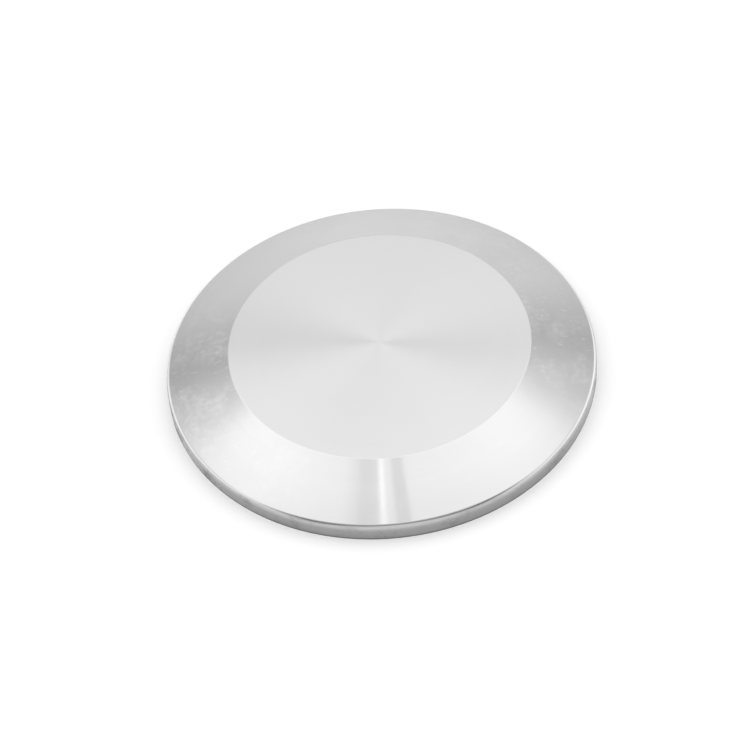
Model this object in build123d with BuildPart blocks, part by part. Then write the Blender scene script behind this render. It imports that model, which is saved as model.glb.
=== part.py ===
from build123d import *
import math
import os

# Solid end cap for a hygienic clamp joint, nominal two inch size, turned from one disc of
# stainless steel. It lies as it is stored: gasket face down, bevelled outer side up.
# Millimetres. The origin is the centre of the gasket face, and +Z points to the outer face.

# Turned disc
clamp_diameter = 64.0
cap_thickness = 6.35
rim_thickness = 2.85
bevel_angle = 20.0

# Gasket groove, round-bottomed, in the gasket face
groove_mean_diameter = 56.3
groove_floor_radius = 2.35
groove_depth = 1.6
groove_lip_radius = 0.55

# Edges broken by the turning tool
rim_edge_radius = 0.6
rim_foot_break = 0.3
outer_edge_break = 0.15

# The bevel climbs from the rim to the outer face, so its slope settles how wide that face is.
bevel_height = cap_thickness - rim_thickness
bevel_width = bevel_height / math.tan(math.radians(bevel_angle))
rim_radius = clamp_diameter / 2
outer_face_radius = rim_radius - bevel_width


with BuildPart() as end_cap:
    # Half section of the cap from its axis to its rim, with the gasket face along the bottom.
    with BuildSketch(Plane.XZ) as half_section:
        with BuildLine() as disc_outline:
            Polyline(
                (0, 0),
                (rim_radius, 0),
                (rim_radius, rim_thickness),
                (outer_face_radius, cap_thickness),
                (0, cap_thickness),
                close=True,
            )
        make_face()

        # The groove's floor is an arc whose centre lies below the gasket face, so that
        # only the groove's depth is cut.
        with Locations((groove_mean_diameter / 2, groove_depth - groove_floor_radius)):
            Circle(groove_floor_radius, mode=Mode.SUBTRACT)

        # Along the bottom lie the axis, the groove's two lips and the rim's foot. The lips are
        # rolled over, so that the gasket's bead seats without being cut.
        bottom_corners = half_section.vertices().group_by(Axis.Y)[0].sort_by(Axis.X)
        fillet(bottom_corners[1:3], radius=groove_lip_radius)

        # The edge that the clamp's jaw slides over is rounded, and the rim's foot and the edge
        # of the outer face are only broken.
        jaw_edge = half_section.vertices().sort_by_distance((rim_radius, rim_thickness))[0]
        fillet(jaw_edge, radius=rim_edge_radius)
        rim_foot = half_section.vertices().sort_by_distance((rim_radius, 0))[0]
        chamfer(rim_foot, length=rim_foot_break)
        face_edge = half_section.vertices().sort_by_distance((outer_face_radius, cap_thickness))[0]
        chamfer(face_edge, length=outer_edge_break)
    revolve(axis=Axis.Z)

end_cap.part.label = "end_cap"
os.makedirs("parts", exist_ok=True)
export_step(end_cap.part, "parts/end_cap.step")
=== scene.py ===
import math

import bmesh
import bpy
from mathutils import Matrix, Vector


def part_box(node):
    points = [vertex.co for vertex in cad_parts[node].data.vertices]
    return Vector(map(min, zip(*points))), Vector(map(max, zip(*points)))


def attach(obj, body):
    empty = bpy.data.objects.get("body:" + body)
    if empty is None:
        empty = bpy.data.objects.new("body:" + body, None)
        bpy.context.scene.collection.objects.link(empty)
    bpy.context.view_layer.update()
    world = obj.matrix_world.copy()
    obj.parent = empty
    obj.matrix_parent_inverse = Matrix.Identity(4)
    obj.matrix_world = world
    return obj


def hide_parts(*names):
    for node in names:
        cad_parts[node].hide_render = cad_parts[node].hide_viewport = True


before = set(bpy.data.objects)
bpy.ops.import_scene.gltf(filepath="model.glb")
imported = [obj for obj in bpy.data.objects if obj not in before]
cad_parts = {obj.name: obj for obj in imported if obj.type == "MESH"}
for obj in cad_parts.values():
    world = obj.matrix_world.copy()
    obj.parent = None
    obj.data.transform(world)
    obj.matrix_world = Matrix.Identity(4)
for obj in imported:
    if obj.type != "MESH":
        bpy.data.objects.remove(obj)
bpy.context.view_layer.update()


# --- The cap ---------------------------------------------------------------------------
# One disc of stainless steel, turned all over: a flat outer face, the bevel that the clamp's
# jaws wedge against, a thin rim, and under it the gasket face with its round-bottomed groove.
# The edge that meets the jaws is rounded, the groove's lips rolled over, the rest broken.

MM = 0.001
cap_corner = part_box("end_cap")[1]
rim_radius = cap_corner.x
cap_thickness = cap_corner.z
rim_thickness = 2.85 * MM
bevel_slope = math.radians(20)
bevel_height = cap_thickness - rim_thickness
outer_face_radius = rim_radius - bevel_height / math.tan(bevel_slope)
groove_mean_radius = 28.15 * MM
groove_floor_radius = 2.35 * MM
groove_depth = 1.6 * MM
groove_lip_radius = 0.55 * MM
rim_edge_radius = 0.8 * MM
rim_foot_break = 0.3 * MM
outer_edge_break = 0.07 * MM
turn_steps = 384
same_place = 0.002 * MM
merge_gap = 0.0005 * MM
straight_up = 0.999


def in_cap_mesh(cap):
    """The cap's mesh in edit mode, with nothing selected."""
    bpy.ops.mesh.select_all(action="DESELECT")
    return bmesh.from_edit_mesh(cap.data)


def pick_ring(cap, ring_radius, ring_height):
    """Selects the edges of one turned ring, which lie at that radius and height."""
    mesh = in_cap_mesh(cap)
    for edge in mesh.edges:
        edge.select = all(
            abs(Vector(end.co.xy).length - ring_radius) < same_place
            and abs(end.co.z - ring_height) < same_place
            for end in edge.verts
        )
    mesh.select_flush_mode()
    bmesh.update_edit_mesh(cap.data)


def pick_level_faces(cap, upward):
    """Selects the flat faces that look straight up (1) or straight down (-1)."""
    mesh = in_cap_mesh(cap)
    for face in mesh.faces:
        face.select = face.normal.z * upward > straight_up
    mesh.select_flush_mode()
    bmesh.update_edit_mesh(cap.data)


# The blank is a plain disc as thick as the rim.
bpy.ops.object.select_all(action="DESELECT")
bpy.ops.mesh.primitive_cylinder_add(
    vertices=turn_steps,
    radius=rim_radius,
    depth=rim_thickness,
    end_fill_type="TRIFAN",
    location=(0, 0, rim_thickness / 2),
)
cap = bpy.context.object
cap.name = "turned_cap"
cap.data.name = "turned_cap"
bpy.ops.object.transform_apply(location=True, rotation=True, scale=True)
bpy.ops.object.mode_set(mode="EDIT")
bpy.ops.mesh.select_mode(type="FACE")

# The bevel: the top of the blank is drawn up and in.
pick_level_faces(cap, upward=1)
bpy.ops.mesh.extrude_region_move(TRANSFORM_OT_translate={"value": (0, 0, bevel_height)})
face_scale = outer_face_radius / rim_radius
bpy.ops.transform.resize(
    value=(face_scale, face_scale, 1), center_override=(0, 0, cap_thickness)
)

# The groove: rings are set in from the gasket face's edge, each lifted to the round floor.
floor_steps = 16
lip_angle = math.acos((groove_floor_radius - groove_depth) / groove_floor_radius)
groove_centre_height = groove_depth - groove_floor_radius
ring_radius = rim_radius
ring_height = 0
pick_level_faces(cap, upward=-1)
for step in range(floor_steps + 1):
    angle = lip_angle * (1 - 2 * step / floor_steps)
    next_radius = groove_mean_radius + groove_floor_radius * math.sin(angle)
    next_height = groove_centre_height + groove_floor_radius * math.cos(angle)
    bpy.ops.mesh.inset(thickness=ring_radius - next_radius)
    bpy.ops.transform.translate(value=(0, 0, next_height - ring_height))
    ring_radius = next_radius
    ring_height = next_height

# The edges: the rim's upper one is rounded, its foot and the outer face's edge are broken,
# and the groove's two lips are rolled over.
groove_half_width = groove_floor_radius * math.sin(lip_angle)
groove_outer_radius = groove_mean_radius + groove_half_width
groove_inner_radius = groove_mean_radius - groove_half_width
rim_edge_run = rim_edge_radius * math.tan((math.pi / 2 - bevel_slope) / 2)
lip_run = groove_lip_radius * math.tan(lip_angle / 2)
bpy.ops.mesh.select_mode(type="EDGE")
for edge_radius, edge_height, run, facets in (
    (rim_radius, rim_thickness, rim_edge_run, 8),
    (rim_radius, 0, rim_foot_break, 3),
    (outer_face_radius, cap_thickness, outer_edge_break, 3),
    (groove_outer_radius, 0, lip_run, 5),
    (groove_inner_radius, 0, lip_run, 5),
):
    pick_ring(cap, edge_radius, edge_height)
    bpy.ops.mesh.bevel(offset=run, segments=facets, profile=0.5, affect="EDGES")
bpy.ops.mesh.select_all(action="SELECT")
bpy.ops.mesh.remove_doubles(threshold=merge_gap)
bpy.ops.mesh.normals_make_consistent(inside=False)
bpy.ops.object.mode_set(mode="OBJECT")
bpy.ops.object.shade_smooth()
crisp = cap.modifiers.new("flat_faces_stay_flat", "WEIGHTED_NORMAL")
crisp.weight = 100
bpy.ops.object.modifier_apply(modifier=crisp.name)

# The map for the finish unrolls the cap: across goes round the axis, and up goes along the
# section, from the middle of the outer face over the rim to the middle of the gasket face.
section_length = 2 * rim_radius + rim_thickness
rim_depth = 1 * MM
unrolled = cap.data.uv_layers.new(name="OFBake").data
for face in cap.data.polygons:
    face_turn = math.atan2(-face.center.y, -face.center.x) / math.tau + 0.5
    for corner in face.loop_indices:
        point = cap.data.vertices[cap.data.loops[corner].vertex_index].co
        out_from_axis = Vector(point.xy).length
        if point.z >= rim_thickness:
            along = out_from_axis
        elif out_from_axis > rim_radius - rim_depth:
            along = section_length - out_from_axis - point.z
        else:
            along = section_length - out_from_axis
        turn = math.atan2(-point.y, -point.x) / math.tau + 0.5
        if out_from_axis < same_place:
            turn = face_turn
        unrolled[corner].uv = (turn + round(face_turn - turn), along / section_length)


# The finish: the tool's rings run round the axis, so a highlight spreads along the radius.
# Each face has its own cut: the bevel is the smoothest, the outer face is faced with a
# broader feed, and the rim is left as it was parted off.

def math_node(tree, operation, *values):
    """A Math node whose inputs are numbers or other nodes' outputs."""
    node = tree.nodes.new("ShaderNodeMath")
    node.operation = operation
    for socket, value in zip(node.inputs, values):
        if isinstance(value, (int, float)):
            socket.default_value = value
        else:
            tree.links.new(value, socket)
    return node.outputs["Value"]


def vector_node(tree, operation, *vectors):
    """A Vector Math node whose inputs are fixed vectors or other nodes' outputs."""
    node = tree.nodes.new("ShaderNodeVectorMath")
    node.operation = operation
    for socket, vector in zip(node.inputs, vectors):
        if isinstance(vector, tuple):
            socket.default_value = vector
        else:
            tree.links.new(vector, socket)
    return node.outputs["Value" if operation in ("LENGTH", "DOT_PRODUCT") else "Vector"]


def split_node(tree, vector):
    """The x, y and z of a vector."""
    node = tree.nodes.new("ShaderNodeSeparateXYZ")
    tree.links.new(vector, node.inputs["Vector"])
    return node.outputs


def noise_node(tree, vector, scale, detail=2.0, roughness=0.5):
    """A Noise Texture read at that vector."""
    node = tree.nodes.new("ShaderNodeTexNoise")
    node.inputs["Scale"].default_value = scale
    node.inputs["Detail"].default_value = detail
    node.inputs["Roughness"].default_value = roughness
    tree.links.new(vector, node.inputs["Vector"])
    return node.outputs["Fac"]


def spread(tree, value, low, high, to_low=0.0, to_high=1.0):
    """Stretches low..high to to_low..to_high, held at both ends."""
    node = tree.nodes.new("ShaderNodeMapRange")
    node.inputs["From Min"].default_value = low
    node.inputs["From Max"].default_value = high
    node.inputs["To Min"].default_value = to_low
    node.inputs["To Max"].default_value = to_high
    tree.links.new(value, node.inputs["Value"])
    return node.outputs["Result"]


def grey(light):
    """A neutral colour of that lightness."""
    return (light, light, light, 1)


def light_ramp(tree, value, stops):
    """A Color Ramp of greys, whose stops are pairs of a position and a lightness."""
    ramp = tree.nodes.new("ShaderNodeValToRGB")
    while len(ramp.color_ramp.elements) < len(stops):
        ramp.color_ramp.elements.new(0.5)
    for stop, (position, light) in zip(ramp.color_ramp.elements, stops):
        stop.position = position
        stop.color = grey(light)
    tree.links.new(value, ramp.inputs["Fac"])
    return ramp.outputs["Color"]


def mix_colours(tree, blend, factor, first, second):
    """A Mix node, whose factor and two colours are fixed or other nodes' outputs."""
    node = tree.nodes.new("ShaderNodeMix")
    node.data_type = "RGBA"
    node.blend_type = blend
    for name, value in (("Factor", factor), ("A", first), ("B", second)):
        if isinstance(value, (int, float, tuple)):
            node.inputs[name].default_value = value
        else:
            tree.links.new(value, node.inputs[name])
    return node.outputs["Result"]


def steel_group(name, inputs, outputs):
    """An empty shader node group that is given a position and the named inputs, and puts
    out the named numbers. Returns the group with its input and output nodes."""
    group = bpy.data.node_groups.new(name, "ShaderNodeTree")
    group.interface.new_socket("Position", in_out="INPUT", socket_type="NodeSocketVector")
    for socket_name, socket_type, value in inputs:
        socket = group.interface.new_socket(socket_name, in_out="INPUT", socket_type=socket_type)
        socket.default_value = value
    for socket_name in outputs:
        group.interface.new_socket(socket_name, in_out="OUTPUT", socket_type="NodeSocketFloat")
    return group, group.nodes.new("NodeGroupInput"), group.nodes.new("NodeGroupOutput")


def level_part(tree, position):
    """A position without its height, which points straight out from the axis."""
    return vector_node(tree, "MULTIPLY", position, (1, 1, 0))


def turning_rings_group():
    """Rings left by the lathe tool: fine ones a feed apart, and slow bands of many turns.
    The noise is read along the section, and it wavers only a little round the axis."""
    group, given, result = steel_group(
        "turning_rings", [("Feed mm", "NodeSocketFloat", 0.15)], ["Rings", "Bands"])
    x, y, z = split_node(group, given.outputs["Position"])
    out_from_axis = vector_node(group, "LENGTH", level_part(group, given.outputs["Position"]))
    safe_radius = math_node(group, "MAXIMUM", out_from_axis, 0.1 * MM)
    along = math_node(group, "SUBTRACT", out_from_axis, z)
    for output, turns_apart, waviness in (("Rings", 1.0, 1.2), ("Bands", 9.0, 0.6)):
        place = group.nodes.new("ShaderNodeCombineXYZ")
        step = math_node(group, "MULTIPLY", given.outputs["Feed mm"], MM * turns_apart)
        group.links.new(math_node(group, "DIVIDE", along, step), place.inputs["Z"])
        for axis, side in (("X", x), ("Y", y)):
            round_the_axis = math_node(group, "DIVIDE", side, safe_radius)
            waver = math_node(group, "MULTIPLY", round_the_axis, waviness)
            group.links.new(waver, place.inputs[axis])
        grain = noise_node(group, place.outputs["Vector"], 1.0, detail=1.0)
        group.links.new(spread(group, grain, 0.3, 0.7), result.inputs[output])
    return group


def section_painted_shade_group():
    """How much the colour is darkened down the bevel and the rim, read along the section as the
    radius less the height. The bevel darkens a little outward. The rim's lower two thirds are
    painted shade for the darker floor that the rim mirrors, and its foot line a painted shadow."""
    group, given, result = steel_group("section_painted_shade", [], ["Light kept"])
    height = split_node(group, given.outputs["Position"])["Z"]
    out_from_axis = vector_node(group, "LENGTH", level_part(group, given.outputs["Position"]))
    along = math_node(group, "SUBTRACT", out_from_axis, height)
    bevel_top = 16 * MM
    rim_bottom = 32 * MM
    way_down = spread(group, along, bevel_top, rim_bottom)
    # The rim's stops are painted shade, with a painted contact shadow at the foot; the bevel's
    # darken it a little outward.
    bevel_stops = ((0.0, 1.0), (0.4, 0.99), (0.8, 0.94))
    rim_shade_stops = ((0.83, 0.94), (0.85, 0.84), (0.88, 0.65), (0.965, 0.58), (0.978, 0.28))
    painted_shade = light_ramp(group, way_down, bevel_stops + rim_shade_stops)
    group.links.new(painted_shade, result.inputs["Light kept"])
    return group


def handling_marks_group():
    """Marks of a part kept loose in a box: cloudy smudges, small dents and short scratches.
    They gather on two sides of the cap, Side A and Side B being the directions of those."""
    group, given, result = steel_group(
        "handling_marks",
        [("Side A", "NodeSocketVector", (-1, -0.3, 0)),
         ("Side B", "NodeSocketVector", (1, 0.4, 0))],
        ["Smudges", "Dents", "Scratches", "Worn"],
    )
    position = given.outputs["Position"]
    outward = vector_node(group, "NORMALIZE", level_part(group, position))
    worn_from = 0.55
    fully_worn = 0.92
    worn_sides = []
    for side in ("Side A", "Side B"):
        towards_it = vector_node(group, "NORMALIZE", given.outputs[side])
        facing = vector_node(group, "DOT_PRODUCT", outward, towards_it)
        worn_sides.append(spread(group, facing, worn_from, fully_worn))
    worn = math_node(group, "MAXIMUM", *worn_sides)
    group.links.new(worn, result.inputs["Worn"])

    # The smudges are clouds a few millimetres across, broken into grains under one.
    clouds_per_metre = 160
    grains_per_metre = 1100
    clouds = spread(group, noise_node(group, position, clouds_per_metre, 5.0, 0.6), 0.44, 0.62)
    grains = noise_node(group, position, grains_per_metre, 3.0, 0.6)
    grains = spread(group, grains, 0.42, 0.66, 0.35, 1)
    group.links.new(math_node(group, "MULTIPLY", clouds, grains), result.inputs["Smudges"])

    # The dents are specks at the middles of small cells, kept only in some patches.
    cells_per_metre = 700
    patches_per_metre = 420
    cells = group.nodes.new("ShaderNodeTexVoronoi")
    cells.inputs["Scale"].default_value = cells_per_metre
    group.links.new(position, cells.inputs["Vector"])
    specks = spread(group, cells.outputs["Distance"], 0.08, 0.3, 1.0, 0.0)
    patches = spread(group, noise_node(group, position, patches_per_metre), 0.56, 0.62)
    dents = math_node(group, "MULTIPLY", math_node(group, "MULTIPLY", specks, patches), worn)
    group.links.new(dents, result.inputs["Dents"])

    # The scratches are a noise that is drawn out one way, aslant across the cap.
    scratch_slant = 0.6
    along_per_metre = 600
    across_per_metre = 2400
    drawn_out = group.nodes.new("ShaderNodeMapping")
    drawn_out.inputs["Rotation"].default_value = (0, 0, scratch_slant)
    drawn_out.inputs["Scale"].default_value = (along_per_metre, across_per_metre, along_per_metre)
    group.links.new(position, drawn_out.inputs["Vector"])
    strokes = noise_node(group, drawn_out.outputs["Vector"], 1.0, detail=1.0)
    scratches = math_node(group, "MULTIPLY", spread(group, strokes, 0.66, 0.76), worn)
    group.links.new(scratches, result.inputs["Scratches"])
    return group


turning_rings = turning_rings_group()
section_painted_shade = section_painted_shade_group()
handling_marks = handling_marks_group()
smudges_elsewhere = 0.35
dulled_roughness = 0.2
mark_strength = 0.6
across_the_rings = 0.25


def turned_steel(name, feed, tone, dull_tone, cut_roughness, ring_roughness, anisotropy,
                 ring_tone, smudge, painted_shade_share, mark_depth, lay=across_the_rings):
    """One cut of the lathe. feed is the tool's in mm, tone and dull_tone are the bright and
    the smudged steel, and ring_tone is how far the rings darken it. smudge is how much the
    smudges show, the share after it is how much of the painted shade down the bevel and the rim
    darkens the colour, and mark_depth is in mm. lay is the way that the highlight spreads, in
    turns."""
    steel = bpy.data.materials.new(name)
    steel.use_nodes = True
    tree = steel.node_tree
    shader = tree.nodes["Principled BSDF"]
    shader.inputs["Metallic"].default_value = 1
    shader.inputs["Anisotropic"].default_value = anisotropy
    shader.inputs["Anisotropic Rotation"].default_value = lay
    tangent = tree.nodes.new("ShaderNodeTangent")
    tangent.direction_type = "RADIAL"
    tangent.axis = "Z"
    tree.links.new(tangent.outputs["Tangent"], shader.inputs["Tangent"])

    place = tree.nodes.new("ShaderNodeTexCoord")
    rings = tree.nodes.new("ShaderNodeGroup")
    rings.node_tree = turning_rings
    rings.inputs["Feed mm"].default_value = feed
    marks = tree.nodes.new("ShaderNodeGroup")
    marks.node_tree = handling_marks
    section_shade = tree.nodes.new("ShaderNodeGroup")
    section_shade.node_tree = section_painted_shade
    for group in (rings, marks, section_shade):
        tree.links.new(place.outputs["Object"], group.inputs["Position"])

    smudges = math_node(tree, "MULTIPLY", marks.outputs["Smudges"], smudge)
    gathered = spread(tree, marks.outputs["Worn"], 0, 1, smudges_elsewhere, 1)
    smudges = math_node(tree, "MULTIPLY", smudges, gathered)
    scuffs = math_node(tree, "MAXIMUM", marks.outputs["Dents"], marks.outputs["Scratches"])
    dulled = math_node(tree, "MAXIMUM", smudges, math_node(tree, "MULTIPLY", scuffs, smudge))
    fine_and_slow = math_node(tree, "ADD", rings.outputs["Rings"], rings.outputs["Bands"])
    ringed = math_node(tree, "MULTIPLY", fine_and_slow, 0.5)

    colour = mix_colours(tree, "MIX", dulled, grey(tone), grey(dull_tone))
    colour = mix_colours(tree, "MULTIPLY", ringed, colour, grey(1 - ring_tone))
    # Painted shade down the bevel and the rim darkens the colour here.
    colour = mix_colours(tree, "MULTIPLY", painted_shade_share, colour, section_shade.outputs["Light kept"])
    tree.links.new(colour, shader.inputs["Base Color"])

    rough = math_node(tree, "MULTIPLY_ADD", rings.outputs["Rings"], ring_roughness, cut_roughness)
    rough = math_node(tree, "MULTIPLY_ADD", dulled, dulled_roughness, rough)
    tree.links.new(rough, shader.inputs["Roughness"])

    bump = tree.nodes.new("ShaderNodeBump")
    bump.inputs["Strength"].default_value = mark_strength
    bump.inputs["Distance"].default_value = mark_depth * MM
    height = math_node(tree, "SUBTRACT", rings.outputs["Rings"], scuffs)
    tree.links.new(height, bump.inputs["Height"])
    tree.links.new(bump.outputs["Normal"], shader.inputs["Normal"])
    return steel


outer_face_cut = turned_steel(
    "faced_steel", feed=0.16, tone=0.84, dull_tone=0.86, cut_roughness=0.21,
    ring_roughness=0.02, anisotropy=0.97, ring_tone=0.01, smudge=0.2, painted_shade_share=0,
    mark_depth=0.0001, lay=0.28)
bevel_cut = turned_steel(
    "bevel_steel", feed=0.12, tone=0.80, dull_tone=0.90, cut_roughness=0.10,
    ring_roughness=0.03, anisotropy=1.0, ring_tone=0.02, smudge=0.55, painted_shade_share=1,
    mark_depth=0.0008)
# The rim's tones are darker than the other faces': partly its rougher parted-off finish,
# and partly painted shade for the darker floor next to the cap that the rim mirrors.
rim_cut = turned_steel(
    "rim_steel", feed=0.2, tone=0.60, dull_tone=0.44, cut_roughness=0.18,
    ring_roughness=0.08, anisotropy=0.6, ring_tone=0.12, smudge=1.8, painted_shade_share=1,
    mark_depth=0.003)
gasket_face_cut = turned_steel(
    "gasket_face_steel", feed=0.1, tone=0.78, dull_tone=0.80, cut_roughness=0.24,
    ring_roughness=0.05, anisotropy=0.8, ring_tone=0.04, smudge=0.2, painted_shade_share=0,
    mark_depth=0.001)

# Each face gets its cut by the way it looks and where it lies. What lies inside the rim and
# below its top is the groove.
cuts = (outer_face_cut, bevel_cut, rim_cut, gasket_face_cut)
outer_face_level = cap_thickness - 0.02 * MM
looks_down = -0.5
looks_up_the_bevel = 0.6
for cut in cuts:
    cap.data.materials.append(cut)
for face in cap.data.polygons:
    inside_the_rim = Vector(face.center.xy).length < rim_radius - rim_depth
    in_the_groove = inside_the_rim and face.center.z < rim_thickness
    if face.normal.z < looks_down or in_the_groove:
        cut = gasket_face_cut
    elif face.center.z > outer_face_level:
        cut = outer_face_cut
    elif face.normal.z > looks_up_the_bevel:
        cut = bevel_cut
    else:
        cut = rim_cut
    face.material_index = cuts.index(cut)

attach(cap, "root")
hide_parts("end_cap")


# --- Floor -----------------------------------------------------------------------------
# A plain white studio floor, which the cap lies on and which keeps its soft shadow. It is
# matt, so that it gives the steel an even white and no glare of its own.

floor_width = 4
floor_glow = 0.3
bpy.ops.object.select_all(action="DESELECT")
bpy.ops.mesh.primitive_plane_add(size=floor_width, location=(0, 0, 0))
floor = bpy.context.object
floor.name = "studio_floor"
floor_white = bpy.data.materials.new("studio_floor_white")
floor_white.use_nodes = True
floor_tree = floor_white.node_tree
paint = floor_tree.nodes["Principled BSDF"]
paint.inputs["Base Color"].default_value = grey(0.9)
paint.inputs["Roughness"].default_value = 0.9
paint.inputs["Specular IOR Level"].default_value = 0
paint.inputs["Emission Color"].default_value = grey(1)
path = floor_tree.nodes.new("ShaderNodeLightPath")
seen = math_node(
    floor_tree, "MAXIMUM", path.outputs["Is Camera Ray"], path.outputs["Is Glossy Ray"])
white_lift = math_node(floor_tree, "MULTIPLY", seen, floor_glow)
floor_tree.links.new(white_lift, paint.inputs["Emission Strength"])
floor.data.materials.append(floor_white)


# --- Softbox ---------------------------------------------------------------------------
# One big softbox overhead. Under it hang the narrow slats of its frame, some lit and some
# dimmer than the cloth, which show as bars on the front of the bevel.

light_height = 0.6
softbox_left = -0.73 * light_height
softbox_right = 0.66 * light_height
softbox_front = -0.9 * light_height
softbox_back = 0.89 * light_height
softbox_glow = 0.15
bpy.ops.object.light_add(type="AREA", location=(
    (softbox_left + softbox_right) / 2, (softbox_front + softbox_back) / 2, light_height))
softbox = bpy.context.object
softbox.name = "overhead_softbox"
softbox.data.shape = "RECTANGLE"
softbox.data.size = softbox_right - softbox_left
softbox.data.size_y = softbox_back - softbox_front
softbox.data.energy = softbox_glow * math.pi * softbox.data.size * softbox.data.size_y
softbox.visible_camera = False

# Each slat has its left and right side, as shares of the height it hangs at, and its glow.
slat_height = 0.5
slat_front = -0.1
slat_back = 0.14
slats = (
    (-0.188, -0.148, 1.02), (-0.148, -0.058, 0.89), (-0.058, -0.038, 1.36),
    (-0.038, -0.002, 1.06), (-0.002, 0.052, 0.88),
)
for number, (from_side, to_side, glow) in enumerate(slats, start=1):
    bpy.ops.object.select_all(action="DESELECT")
    bpy.ops.mesh.primitive_plane_add(size=1, location=(
        (from_side + to_side) / 2 * slat_height, (slat_front + slat_back) / 2, slat_height))
    slat = bpy.context.object
    slat.name = f"softbox_slat_{number}"
    slat.scale = ((to_side - from_side) * slat_height, slat_back - slat_front, 1)
    bpy.ops.object.transform_apply(location=True, rotation=True, scale=True)
    slat.visible_camera = False
    slat.visible_shadow = False
    slat.visible_diffuse = False
    slat_glow = bpy.data.materials.new(f"softbox_slat_{number}")
    slat_glow.use_nodes = True
    paint = slat_glow.node_tree.nodes["Principled BSDF"]
    paint.inputs["Base Color"].default_value = grey(0)
    paint.inputs["Specular IOR Level"].default_value = 0
    paint.inputs["Emission Color"].default_value = grey(1)
    paint.inputs["Emission Strength"].default_value = glow
    slat.data.materials.append(slat_glow)


# --- Room ------------------------------------------------------------------------------
# A pale room round the table, dimmest half way up its walls, which the steel mirrors. The
# near end has a dark stretch high up, and the right wall is a little brighter low down.

studio_room = bpy.data.worlds.new("studio_room")
bpy.context.scene.world = studio_room
studio_room.use_nodes = True
room_tree = studio_room.node_tree
room = room_tree.nodes["Background"]
place = room_tree.nodes.new("ShaderNodeTexCoord")
x, y, z = split_node(room_tree, place.outputs["Generated"])

# The walls' light by degrees above the floor, in a room that leans a little.
brightest = 1.25
room_lean = (-0.03, -0.06, 1)
wall_light = ((0, 0.8), (14, 0.73), (28, 0.46), (42, 0.77), (49, 1.06), (63, 1.02), (90, 0.93))
leaning_height = vector_node(room_tree, "DOT_PRODUCT", place.outputs["Generated"], room_lean)
walls = light_ramp(room_tree, leaning_height, [
    (math.sin(math.radians(wall_elevation)), light / brightest)
    for wall_elevation, light in wall_light
])

# The shade on the walls: the near end, both sides, the dark stretch and the low right.
stretch_darkness = 0.75
low_right_glow = 0.08
from_near_end = math_node(room_tree, "ADD", y, 1)
near_wall = spread(room_tree, from_near_end, 0.12, 0.24, 0.5, 0)
side_walls = spread(room_tree, math_node(room_tree, "ABSOLUTE", x), 0.6, 0.8, 1, 1.6)
dark_stretch = light_ramp(room_tree, from_near_end, ((0.12, 0), (0.24, 1), (0.5, 1), (0.8, 0)))
high_up = spread(room_tree, z, 0.3, 0.45)
dark_stretch = math_node(room_tree, "MULTIPLY", dark_stretch, high_up)
far_right = spread(room_tree, x, 0.32, 0.44)
low_down = spread(room_tree, z, 0.64, 0.54)
low_right = math_node(room_tree, "MULTIPLY", far_right, low_down)
room_shade = math_node(room_tree, "ADD", near_wall, side_walls)
room_shade = math_node(room_tree, "MULTIPLY_ADD", dark_stretch, -stretch_darkness, room_shade)
room_shade = math_node(room_tree, "MULTIPLY_ADD", low_right, low_right_glow, room_shade)
shaded_walls = mix_colours(room_tree, "MULTIPLY", 1, walls, room_shade)
room_tree.links.new(shaded_walls, room.inputs["Color"])
room.inputs["Strength"].default_value = brightest

# To the camera the room is plain white.
white_room = room_tree.nodes.new("ShaderNodeBackground")
white_room.inputs["Color"].default_value = grey(1)
path = room_tree.nodes.new("ShaderNodeLightPath")
seen_room = room_tree.nodes.new("ShaderNodeMixShader")
room_tree.links.new(path.outputs["Is Camera Ray"], seen_room.inputs[0])
room_tree.links.new(room.outputs["Background"], seen_room.inputs[1])
room_tree.links.new(white_room.outputs["Background"], seen_room.inputs[2])
room_tree.links.new(seen_room.outputs["Shader"], room_tree.nodes["World Output"].inputs["Surface"])


# --- Camera ----------------------------------------------------------------------------
# It looks down at the cap at about 48 degrees through a long lens, and is held turned a
# little clockwise, with the cap just off the middle of the picture.

elevation = math.radians(47.94)
roll = math.radians(5.92)
distance = 356.5 * MM
aside = 0.84 * MM
above = 2.51 * MM
looked_at = Vector((0, 0, rim_thickness))
forward = Vector((0, math.cos(elevation), -math.sin(elevation)))
level_right = Vector((1, 0, 0))
level_up = level_right.cross(forward)
camera_right = math.cos(roll) * level_right - math.sin(roll) * level_up
camera_up = math.sin(roll) * level_right + math.cos(roll) * level_up
bpy.ops.object.camera_add()
camera = bpy.context.object
camera.name = "studio_camera"
camera.data.sensor_width = 36
camera.data.lens = 115.2
camera.data.clip_start = 0.01
camera_place = looked_at - distance * forward - aside * camera_right - above * camera_up
camera_turn = Matrix((camera_right, camera_up, -forward)).transposed()
camera.matrix_world = Matrix.Translation(camera_place) @ camera_turn.to_4x4()
bpy.context.scene.camera = camera
bpy.context.scene.view_settings.view_transform = "Standard"
